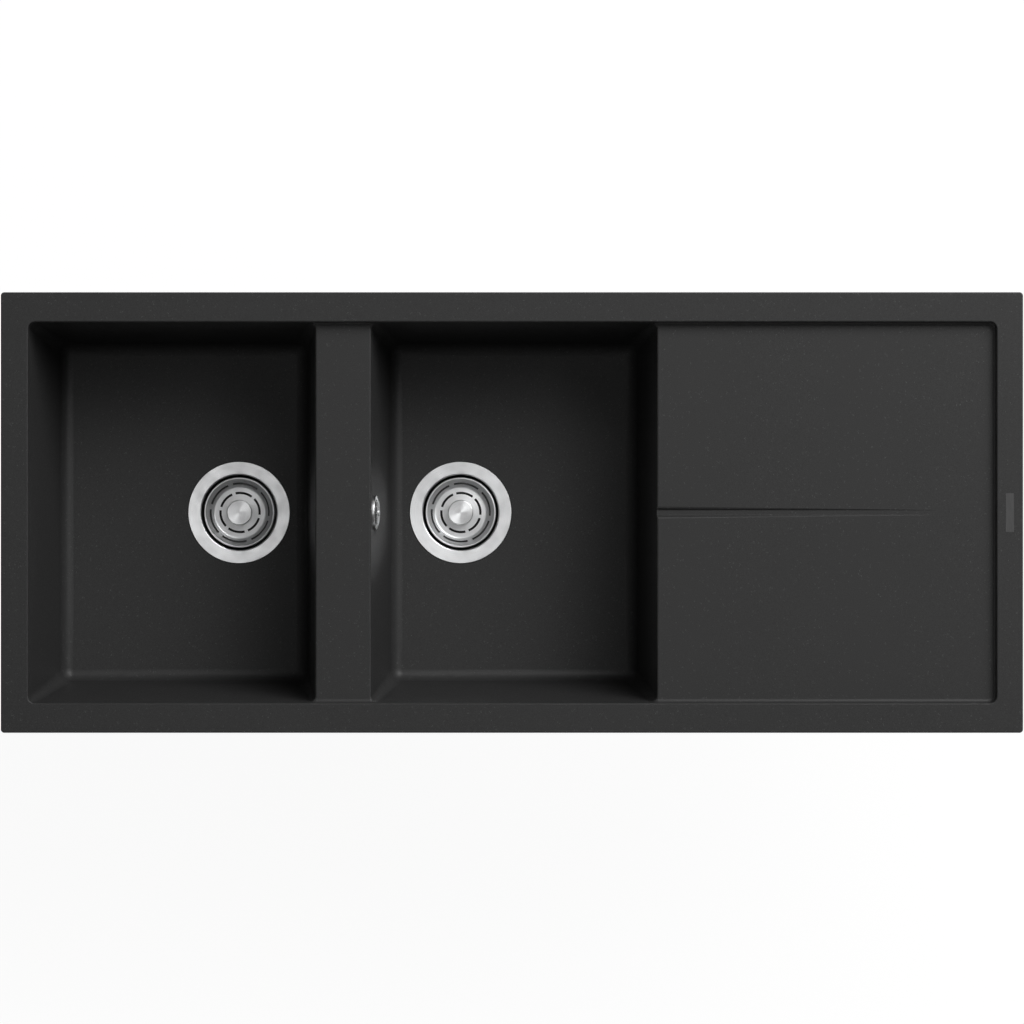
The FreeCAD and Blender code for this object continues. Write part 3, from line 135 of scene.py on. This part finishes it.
class Paint:
    """A material whose nodes are added one at a time."""

    def __init__(self, name):
        self.material = bpy.data.materials.new(name)
        self.material.use_nodes = True
        self.tree = self.material.node_tree
        self.shader = self.tree.nodes["Principled BSDF"]

    def feed(self, socket, value):
        if isinstance(value, bpy.types.NodeSocket):
            self.tree.links.new(value, socket)
        else:
            socket.default_value = value

    def add(self, kind, inputs=(), **settings):
        """A new node. inputs maps a socket's name or number to a value or to another node's output."""
        node = self.tree.nodes.new(kind)
        for name, value in settings.items():
            setattr(node, name, value)
        for name, value in dict(inputs).items():
            self.feed(node.inputs[name], value)
        return node

    def place(self, centre=(0, 0, 0), lean=0.0):
        """Where a point of the surface is, from centre, in a frame leant about the Y axis."""
        spot = self.add("ShaderNodeTexCoord").outputs["Object"]
        settings = {"Vector": spot, "Location": centre, "Rotation": (0, lean, 0)}
        return self.add("ShaderNodeMapping", settings, vector_type="TEXTURE").outputs[0]

    def math(self, operation, first, second=0.0):
        return self.add("ShaderNodeMath", {0: first, 1: second}, operation=operation).outputs[0]

    def noise(self, place, scale, detail=3.0, roughness=0.55):
        inputs = {"Vector": place, "Scale": scale, "Detail": detail, "Roughness": roughness}
        return self.add("ShaderNodeTexNoise", inputs).outputs[0]

    def cells(self, place, scale, output="Color", **settings):
        inputs = {"Vector": place, "Scale": scale}
        return self.add("ShaderNodeTexVoronoi", inputs, **settings).outputs[output]

    def spread(self, value, low, high, start=0.0, end=1.0):
        """value between start and end, as a number between low and high."""
        inputs = {"Value": value, "From Min": start, "From Max": end, "To Min": low, "To Max": high}
        return self.add("ShaderNodeMapRange", inputs).outputs[0]

    def ramp(self, value, *stops):
        """A colour for value, from stops of (position, colour or grey)."""
        node = self.add("ShaderNodeValToRGB", {0: value})
        points = node.color_ramp.elements
        while len(points) < len(stops):
            points.new(0.5)
        for point, (position, colour) in zip(points, stops):
            point.position = position
            point.color = rgba(colour)
        return node.outputs[0]

    def mix(self, share, first, second, blend="MIX"):
        node = self.add("ShaderNodeMix", data_type="RGBA", blend_type=blend)
        self.feed(node.inputs[0], share)
        self.feed(node.inputs[6], first if isinstance(first, bpy.types.NodeSocket) else rgba(first))
        self.feed(node.inputs[7], second if isinstance(second, bpy.types.NodeSocket) else rgba(second))
        return node.outputs[2]

    def bump(self, height, strength, distance, below=None):
        inputs = {"Height": height, "Strength": strength, "Distance": distance}
        if below is not None:
            inputs["Normal"] = below
        return self.add("ShaderNodeBump", inputs).outputs[0]

    def finish(self, **sockets):
        """Feeds the shader's sockets, their spaces written as underscores, and gives the material."""
        for name, value in sockets.items():
            self.feed(self.shader.inputs[name.replace("_", " ")], value)
        return self.material


def rgba(colour):
    """A grey number or an (r, g, b) as a colour with full alpha."""
    if isinstance(colour, (int, float)):
        colour = (colour, colour, colour)
    return (*colour, 1.0)


def composite():
    """Black quartz composite: dark resin full of fine grains, with a dry moulded skin."""
    paint = Paint("composite")
    place = paint.place()
    grain = paint.noise(place, 1300, 2.0)
    speck = paint.cells(place, 900, "Distance")
    chip = paint.cells(place, 520)
    chip_pick = paint.add("ShaderNodeSeparateColor", {0: chip}).outputs[0]
    cloud = paint.noise(place, 9, 3.0)
    body = paint.ramp(grain, (0.30, 0.0165), (0.72, 0.0375))
    pale = paint.math("MULTIPLY", paint.math("GREATER_THAN", chip_pick, 0.95),
                      paint.math("LESS_THAN", speck, 0.34))
    body = paint.mix(pale, body, 0.075)
    body = paint.mix(paint.spread(cloud, 0.0, 0.35, 0.3, 0.7), body, 0.024)
    dents = paint.bump(paint.noise(place, 1700, 3.0), 0.20, 0.00012)
    skin = paint.bump(paint.noise(place, 190, 2.0), 0.10, 0.0002, dents)
    return paint.finish(
        Base_Color=body,
        Roughness=paint.spread(paint.noise(place, 700), 0.42, 0.54, 0.3, 0.7),
        Specular_IOR_Level=0.27,
        Normal=skin,
    )


def turned_steel(name, node, brush=1.0, lean=0.0, axis="Z", rough=SATIN, directional=0.25, shade_share=0.0):
    """Steel brushed or turned round the axis of a CAD node. The last argument is the share of painted shade
    that darkens the steel below the node's rim, standing in for the shade inside it.
    """
    low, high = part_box(node)
    paint = Paint(name)
    place = paint.place((low + high) / 2, lean)
    parts = paint.add("ShaderNodeSeparateXYZ", {0: place}).outputs
    flat = paint.add("ShaderNodeCombineXYZ", {0: parts[0], 1: parts[1]}).outputs[0]
    radius = paint.add("ShaderNodeVectorMath", {0: flat}, operation="LENGTH").outputs["Value"]
    facing = paint.add("ShaderNodeVectorMath", {0: flat}, operation="NORMALIZE").outputs[0]
    facing = paint.add("ShaderNodeSeparateXYZ", {0: facing}).outputs
    along = paint.math("MULTIPLY", paint.math("ADD", radius, parts[2]), 2600.0)
    streaks = paint.add("ShaderNodeCombineXYZ", {0: along, 1: facing[0], 2: facing[1]}).outputs[0]
    rings = paint.noise(streaks, 1.6, 4.0, 0.65)
    smudge = paint.noise(place, 70, 3.0)
    fine = paint.noise(place, 2400, 2.0)
    tint = paint.spread(rings, 0.86, 1.10, 0.25, 0.75)
    tone = paint.mix(1.0, STEEL, paint.ramp(tint, (0.0, 0.0), (1.0, 1.0)), "MULTIPLY")
    tone = paint.mix(paint.spread(smudge, 0.0, 0.12, 0.45, 0.75), tone, 0.30)
    # painted shade: the steel darkens below the rim, standing in for the shade that falls inside
    if shade_share:
        top = (high.z - low.z) / 2
        painted_shade_mask = paint.spread(parts[2], shade_share, 0.0, top - SHADE_PAINT_START - SHADE_PAINT_FADE, top - SHADE_PAINT_START)
        tone = paint.mix(painted_shade_mask, tone, 0.04)
    worn = paint.math("ADD", paint.spread(rings, *rough, 0.25, 0.75),
                      paint.spread(smudge, -0.04, 0.06, 0.3, 0.7))
    lines = paint.bump(rings, 0.10 * brush, 0.00006)
    lines = paint.bump(fine, 0.03, 0.00004, lines)
    tangent = paint.add("ShaderNodeTangent", direction_type="RADIAL", axis=axis).outputs[0]
    return paint.finish(
        Base_Color=tone,
        Metallic=1.0,
        Roughness=worn,
        Anisotropic=directional,
        Anisotropic_Rotation=0.25,
        Tangent=tangent,
        Normal=lines,
    )


def zinc():
    """Zinc-plated steel: a dull bright coat with faint spangles and handling marks."""
    paint = Paint("zinc")
    place = paint.place()
    spangle = paint.add("ShaderNodeSeparateColor", {0: paint.cells(place, 260)}).outputs[0]
    blotch = paint.noise(place, 90, 4.0)
    tone = paint.ramp(spangle, (0.0, (0.50, 0.51, 0.53)), (1.0, (0.68, 0.69, 0.70)))
    tone = paint.mix(paint.spread(blotch, 0.0, 0.45, 0.5, 0.8), tone, (0.36, 0.36, 0.37))
    scratch = paint.bump(paint.noise(place, 1500, 4.0), 0.15, 0.00008)
    return paint.finish(
        Base_Color=tone,
        Metallic=1.0,
        Roughness=paint.spread(blotch, 0.30, 0.52, 0.3, 0.7),
        Normal=scratch,
    )


def brass():
    """Turned brass, a little dulled."""
    paint = Paint("brass")
    place = paint.place()
    dull = paint.noise(place, 240, 4.0)
    tone = paint.ramp(dull, (0.3, (0.70, 0.49, 0.20)), (0.7, (0.52, 0.36, 0.15)))
    return paint.finish(
        Base_Color=tone,
        Metallic=1.0,
        Roughness=paint.spread(dull, 0.24, 0.46, 0.3, 0.7),
        Normal=paint.bump(paint.noise(place, 2200, 3.0), 0.12, 0.00006),
    )


def plate():
    """Dark satin anodised aluminium, brushed along its length, with nothing on it."""
    paint = Paint("plate")
    place = paint.place()
    stretch = paint.add("ShaderNodeVectorMath", {0: place, 1: (5200, 90, 5200)}, operation="MULTIPLY")
    brushed = paint.noise(stretch.outputs[0], 1.0, 3.0)
    tone = paint.ramp(brushed, (0.3, 0.058), (0.7, 0.085))
    return paint.finish(
        Base_Color=tone,
        Metallic=0.35,
        Roughness=paint.spread(brushed, 0.36, 0.52, 0.3, 0.7),
        Specular_IOR_Level=0.2,
        Normal=paint.bump(brushed, 0.15, 0.00005),
    )


def plastic(name, light, dark, rough, texture=1400.0, depth=0.25, sheen_level=0.35):
    """Moulded plastic: a slightly uneven colour and the fine skin of its mould."""
    paint = Paint(name)
    place = paint.place()
    flow = paint.noise(place, 26, 4.0)
    skin = paint.noise(place, texture, 3.0)
    tone = paint.ramp(flow, (0.32, dark), (0.68, light))
    grain = paint.bump(skin, depth, 0.00010)
    waves = paint.bump(paint.noise(place, 60, 2.0), 0.10, 0.0004, grain)
    return paint.finish(
        Base_Color=tone,
        Roughness=paint.spread(skin, *rough, 0.3, 0.7),
        Specular_IOR_Level=sheen_level,
        Normal=waves,
    )


def rubber(name, light, dark):
    """Moulded rubber: matt, with a dusty bloom."""
    paint = Paint(name)
    place = paint.place()
    bloom = paint.noise(place, 120, 4.0)
    tone = paint.ramp(bloom, (0.35, dark), (0.70, light))
    return paint.finish(
        Base_Color=tone,
        Roughness=paint.spread(bloom, 0.58, 0.82, 0.3, 0.7),
        Specular_IOR_Level=0.25,
        Normal=paint.bump(paint.noise(place, 1800, 3.0), 0.30, 0.00010),
    )


def foam():
    """Closed-cell foam: a field of small pores."""
    paint = Paint("foam")
    place = paint.place()
    pores = paint.cells(place, 1100, "Distance")
    tone = paint.ramp(pores, (0.15, 0.035), (0.55, 0.085))
    return paint.finish(
        Base_Color=tone,
        Roughness=paint.spread(pores, 0.95, 0.80),
        Specular_IOR_Level=0.15,
        Normal=paint.bump(pores, 0.6, 0.0003),
    )


def finishes():
    """Each material slot's finish, for the nodes that have none of their own."""
    return {
        "composite": composite(),
        "steel": turned_steel("steel", "left_post"),
        "zinc": zinc(),
        "brass": brass(),
        "plate": plate(),
        "black_plastic": plastic("black_plastic", 0.026, 0.018, (0.36, 0.50)),
        "white_plastic": plastic("white_plastic", (0.74, 0.74, 0.72), (0.68, 0.68, 0.66), (0.34, 0.48)),
        "hose_plastic": plastic("hose_plastic", (0.60, 0.60, 0.58), (0.52, 0.52, 0.50), (0.30, 0.44)),
        "gasket": rubber("gasket", 0.036, 0.022),
        "stopper_rubber": rubber("stopper_rubber", 0.050, 0.028),
        "foam": foam(),
    }


def own_finishes():
    """The nodes that are brushed round their own axis."""
    found = {}
    for side in SIDES:
        cup, basket, knob = side + "_strainer_cup", side + "_basket", side + "_knob"
        # the cup's steel carries painted shade below its rim
        found[cup] = turned_steel(side + "_cup_steel_painted_shade", cup, shade_share=CUP_PAINTED_SHADE)
        found[basket] = turned_steel(side + "_basket_steel", basket, rough=BASKET_SATIN)
        found[knob] = turned_steel(side + "_knob_steel", knob, KNOB_BRUSH, directional=KNOB_DIRECTIONAL)
        found[side + "_post"] = turned_steel(side + "_post_steel", side + "_post")
        found[side + "_clamp_screw"] = turned_steel(side + "_screw_steel", side + "_clamp_screw")
    for node in ("overflow_cover", "overflow_screw"):
        found[node] = turned_steel(node + "_steel", node, COVER_BRUSH, OVERFLOW_LEAN, "X", POLISHED)
    return found


def paint_nodes():
    """Puts a finish on every CAD node, and gives the finishes by slot for the pieces."""
    by_slot = finishes()
    own = own_finishes()
    for part in frame["record"]["subparts"]:
        node = frame["nodes"][part["node"]]
        node.data.materials.clear()
        node.data.materials.append(own.get(part["node"], by_slot[part["material_slot"]]))
    return by_slot


# pieces

def mesh_piece(name, points, faces, material, body, replaced, sharp=35.0):
    """A smooth mesh that stands for some CAD nodes."""
    mesh = bpy.data.meshes.new(name)
    mesh.from_pydata(points, [], faces)
    mesh.validate()
    mesh.materials.append(material)
    mesh.polygons.foreach_set("use_smooth", [True] * len(mesh.polygons))
    mesh.set_sharp_from_angle(angle=math.radians(sharp))
    piece = bpy.data.objects.new(name, mesh)
    bpy.context.scene.collection.objects.link(piece)
    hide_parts(*replaced)
    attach(piece, body)
    return piece


def tube(rings, inner, segments):
    """Points and faces of a closed tube: its rings are (middle, across, up, radius), its bore is inner."""
    points, faces = [], []
    walls = [*rings, *[(middle, across, up, inner) for middle, across, up, _ in reversed(rings)]]
    for middle, across, up, radius in walls:
        for step in range(segments):
            angle = 2 * math.pi * step / segments
            points.append(middle + across * (radius * math.cos(angle)) + up * (radius * math.sin(angle)))
    count = len(walls)
    for ring in range(count):
        after = (ring + 1) % count
        for step in range(segments):
            beside = (step + 1) % segments
            faces.append((ring * segments + step, ring * segments + beside,
                          after * segments + beside, after * segments + step))
    return points, faces


def overflow_hose(material):
    """The corrugated hose, with a plain cuff at each end under its band."""
    low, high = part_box("overflow_hose")
    outer = (high.y - low.y) / 2
    down = Vector((math.sin(DRAFT), 0, -math.cos(DRAFT)))
    out = Vector((math.cos(DRAFT), 0, math.sin(DRAFT)))
    top = Vector((low.x + outer * out.x, 0, high.z - outer * out.z))
    turn_level = low.z + outer + HOSE_BEND * (1 - math.sin(DRAFT))
    drop = (top.z - turn_level) / math.cos(DRAFT)
    arc = HOSE_BEND * (math.pi / 2 - DRAFT)
    corner = top + down * drop
    centre = corner + out * HOSE_BEND
    end_run = high.x - centre.x
    length = drop + arc + end_run
    rings = []
    count = round(length / (HOSE_PITCH / RINGS_PER_PITCH))
    for step in range(count + 1):
        reach = length * step / count
        if reach < drop:
            middle, facing = top + down * reach, down
        elif reach < drop + arc:
            angle = (reach - drop) / HOSE_BEND
            facing = Matrix.Rotation(-angle, 3, "Y") @ down
            middle = centre - (Matrix.Rotation(-angle, 3, "Y") @ out) * HOSE_BEND
        else:
            facing = Vector((1, 0, 0))
            middle = centre + Vector((reach - drop - arc, 0, -HOSE_BEND))
        up = Vector((0, 1, 0))
        wave = 0.5 - 0.5 * math.cos(2 * math.pi * reach / HOSE_PITCH)
        plain = min(reach, length - reach) < HOSE_CUFF
        radius = outer - (0 if plain else HOSE_GROOVE * wave ** GROOVE_SHARPNESS)
        rings.append((middle, facing.cross(up), up, radius))
    points, faces = tube(rings, outer - HOSE_WALL, HOSE_SEGMENTS)
    return mesh_piece("corrugated_hose", points, faces, material, "sink", ["overflow_hose"])


def hexagonal(radius):
    """How far a hexagon's side is from its middle at each angle. Its corners are at radius."""
    step = math.pi / 3
    return lambda angle: radius * math.cos(step / 2) / math.cos((angle % step) - step / 2)


def threaded(level):
    """How far a screw thread stands out from its axis at each angle, at this level."""
    def reach(angle):
        phase = (level / THREAD_PITCH - angle / (2 * math.pi)) % 1
        return SCREW_RADIUS - THREAD_DEPTH * abs(2 * phase - 1)
    return reach


def stacked(rings, foot, segments):
    """Points and faces of a closed form round an upright axis. Its rings are (level, radius at each angle)."""
    points, faces = [], []
    for level, radius in rings:
        for step in range(segments):
            angle = 2 * math.pi * step / segments
            reach = radius(angle) if callable(radius) else radius
            points.append(foot + Vector((reach * math.cos(angle), reach * math.sin(angle), level)))
    for ring in range(len(rings) - 1):
        for step in range(segments):
            beside = (step + 1) % segments
            low, high = ring * segments, (ring + 1) * segments
            faces.append((low + step, low + beside, high + beside, high + step))
    last = (len(rings) - 1) * segments
    faces.append(tuple(reversed(range(segments))))
    faces.append(tuple(range(last, last + segments)))
    return points, faces


def clip_screws(material):
    """The clips' screws, with their threads and the sockets in their heads."""
    low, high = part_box("clip_screws")
    hinges = [joint for joint in frame["record"]["behaviour"]["joints"] if joint["name"].startswith("claw_")]
    head_radius = high.x - max(hinge["pos_m"][0] for hinge in hinges)
    length = high.z - low.z
    rings = [
        (SOCKET_DEPTH, hexagonal(SOCKET_RADIUS)),
        (0, hexagonal(SOCKET_RADIUS)),
        (0, head_radius - SCREW_CHAMFER),
        (SCREW_CHAMFER, head_radius),
        (SCREW_HEAD, head_radius),
        (SCREW_HEAD, SCREW_RADIUS - THREAD_DEPTH),
    ]
    turns = round((length - SCREW_HEAD) / THREAD_PITCH) - 1
    for step in range(1, turns * RINGS_PER_TURN):
        level = SCREW_HEAD + step * THREAD_PITCH / RINGS_PER_TURN
        rings.append((level, threaded(level)))
    rings.append((length, SCREW_RADIUS - 2 * THREAD_DEPTH))
    points, faces = [], []
    for hinge in hinges:
        foot = Vector((hinge["pos_m"][0], hinge["pos_m"][1], low.z))
        more, sides = stacked(rings, foot, SCREW_SEGMENTS)
        faces.extend(tuple(corner + len(points) for corner in side) for side in sides)
        points.extend(more)
    return mesh_piece("threaded_clip_screws", points, faces, material, "sink", ["clip_screws"])


# the stage

def seen_directly(paint):
    """1 where the camera, a reflection or a view through glass looks, and 0 for light on its way."""
    path = paint.add("ShaderNodeLightPath").outputs
    return paint.math("MAXIMUM", path["Is Camera Ray"],
                      paint.math("MAXIMUM", path["Is Glossy Ray"], path["Is Transmission Ray"]))


def floor():
    """A plain pale floor, white to the eye, that keeps the object's shadow and hides nothing from below."""
    level = cad_box[0].z - FLOOR_GAP
    points = [Vector((0, 0, level))]
    for step in range(FLOOR_SEGMENTS):
        angle = 2 * math.pi * step / FLOOR_SEGMENTS
        points.append(Vector((FLOOR_RADIUS * math.cos(angle), FLOOR_RADIUS * math.sin(angle), level)))
    faces = [(0, step + 1, (step + 1) % FLOOR_SEGMENTS + 1) for step in range(FLOOR_SEGMENTS)]
    mesh = bpy.data.meshes.new("floor")
    mesh.from_pydata(points, [], faces)
    paint = Paint("floor")
    lit = paint.add("ShaderNodeBsdfDiffuse", {"Color": rgba(FLOOR_COLOUR)}).outputs[0]
    shade = paint.add("ShaderNodeBsdfDiffuse", {"Color": rgba(FLOOR_SHADE)}).outputs[0]
    glow = paint.add("ShaderNodeEmission", {"Color": rgba(1.0), "Strength": FLOOR_GLOW}).outputs[0]
    white = paint.add("ShaderNodeAddShader", {0: shade, 1: glow}).outputs[0]
    top = paint.add("ShaderNodeMixShader", {0: seen_directly(paint), 1: lit, 2: white}).outputs[0]
    clear = paint.add("ShaderNodeBsdfTransparent").outputs[0]
    behind = paint.add("ShaderNodeNewGeometry").outputs["Backfacing"]
    both = paint.add("ShaderNodeMixShader", {0: behind, 1: top, 2: clear}).outputs[0]
    paint.tree.links.new(both, paint.tree.nodes["Material Output"].inputs["Surface"])
    paint.tree.nodes.remove(paint.shader)
    mesh.materials.append(paint.material)
    piece = bpy.data.objects.new("floor", mesh)
    bpy.context.scene.collection.objects.link(piece)


class Sky(Paint):
    """The world's nodes, added as a material's are."""

    def __init__(self, world):
        world.use_nodes = True
        self.tree = world.node_tree
        self.shader = self.tree.nodes["Background"]


def room():
    """A dim room, lighter overhead, whose sides and ground look white."""
    world = bpy.data.worlds.new("room")
    bpy.context.scene.world = world
    sky = Sky(world)
    aim = sky.add("ShaderNodeTexCoord").outputs["Generated"]
    height = sky.add("ShaderNodeSeparateXYZ", {0: aim}).outputs[2]
    dim = sky.spread(height, ROOM_SIDE, ROOM_TOP)
    white = sky.math("MULTIPLY", seen_directly(sky), sky.math("LESS_THAN", height, WHITE_BELOW))
    sky.feed(sky.shader.inputs["Color"], rgba(1.0))
    sky.feed(sky.shader.inputs["Strength"], sky.math("MAXIMUM", dim, white))


def softbox(name, place, size, power):
    """A square lamp that faces the middle of the rim."""
    lamp = bpy.data.lights.new(name, "AREA")
    lamp.shape = "SQUARE"
    lamp.size = size
    lamp.energy = power
    piece = bpy.data.objects.new(name, lamp)
    piece.location = place
    piece.rotation_mode = "QUATERNION"
    piece.rotation_quaternion = (-Vector(place)).to_track_quat("-Z", "Y")
    piece.visible_camera = False
    bpy.context.scene.collection.objects.link(piece)


def camera():
    """Straight down on the rim, far off, as the photograph was taken."""
    lens = bpy.data.cameras.new("camera")
    lens.lens = LENS
    lens.sensor_width = SENSOR
    lens.clip_start = NEAREST
    lens.clip_end = FARTHEST
    piece = bpy.data.objects.new("camera", lens)
    piece.location = (*CAMERA_OFFSET, CAMERA_HEIGHT)
    bpy.context.scene.collection.objects.link(piece)
    bpy.context.scene.camera = piece


slot_finishes = paint_nodes()
overflow_hose(slot_finishes["hose_plastic"])
clip_screws(slot_finishes["zinc"])
floor()
room()
softbox("key", KEY_PLACE, KEY_SIZE, KEY_POWER)
softbox("fill", FILL_PLACE, FILL_SIZE, FILL_POWER)
softbox("top", TOP_PLACE, TOP_SIZE, TOP_POWER)
camera()
bpy.context.scene.view_settings.view_transform = "Standard"
